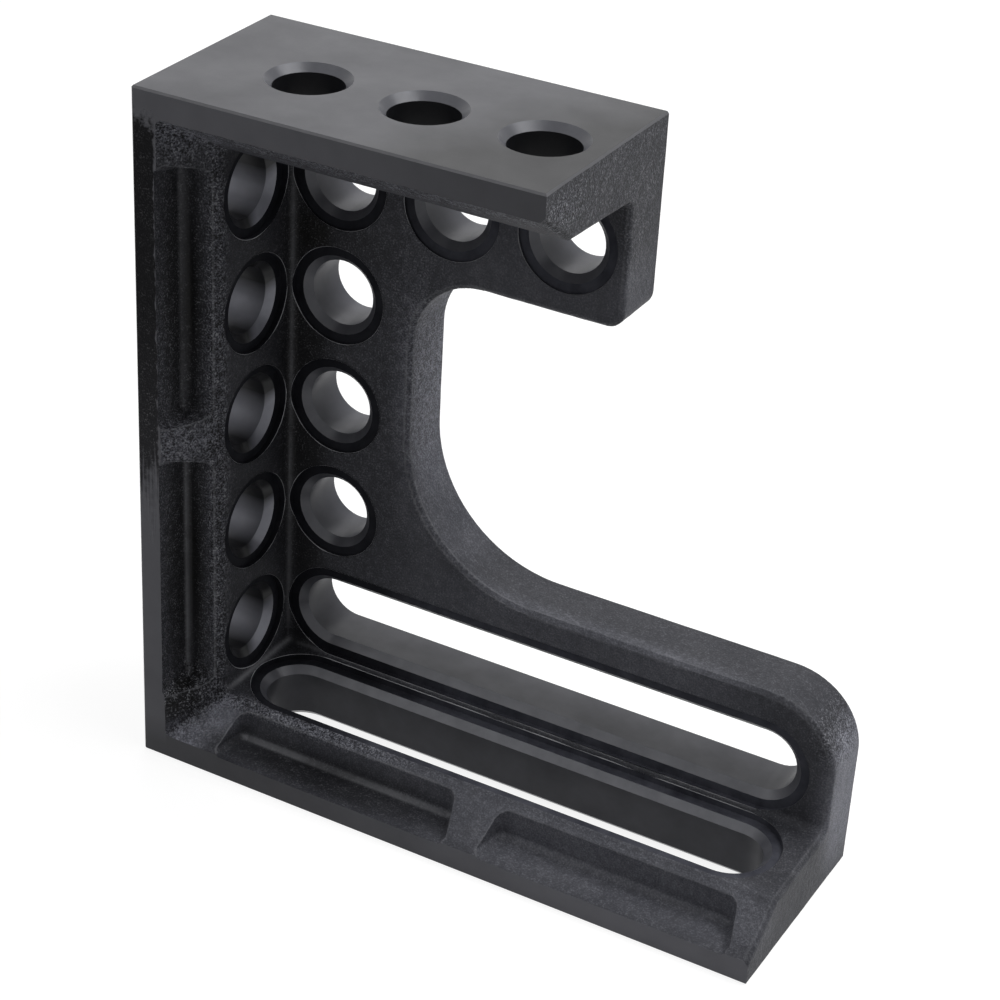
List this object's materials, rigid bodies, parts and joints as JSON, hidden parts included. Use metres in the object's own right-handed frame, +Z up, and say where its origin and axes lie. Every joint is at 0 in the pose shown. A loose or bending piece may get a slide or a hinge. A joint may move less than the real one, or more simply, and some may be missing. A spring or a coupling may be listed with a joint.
{
  "type": "welding clamping square",
  "caption": "One-piece cast C-shaped clamping square with a bored upright and arm, a slotted base and a web along its back, for a bored welding table.",
  "frame": {"origin": "middle of the underside of the base", "axes": "+X along the base away from the upright, +Y from the open front to the web's back face, +Z up the upright"},
  "size_m": [0.281, 0.094, 0.3],
  "materials": {
    "casting": "satin black, machined on the outer faces and rough cast inside"
  },
  "bodies": {
    "root": {"clamping_square": "casting"}
  },
  "joints": []
}
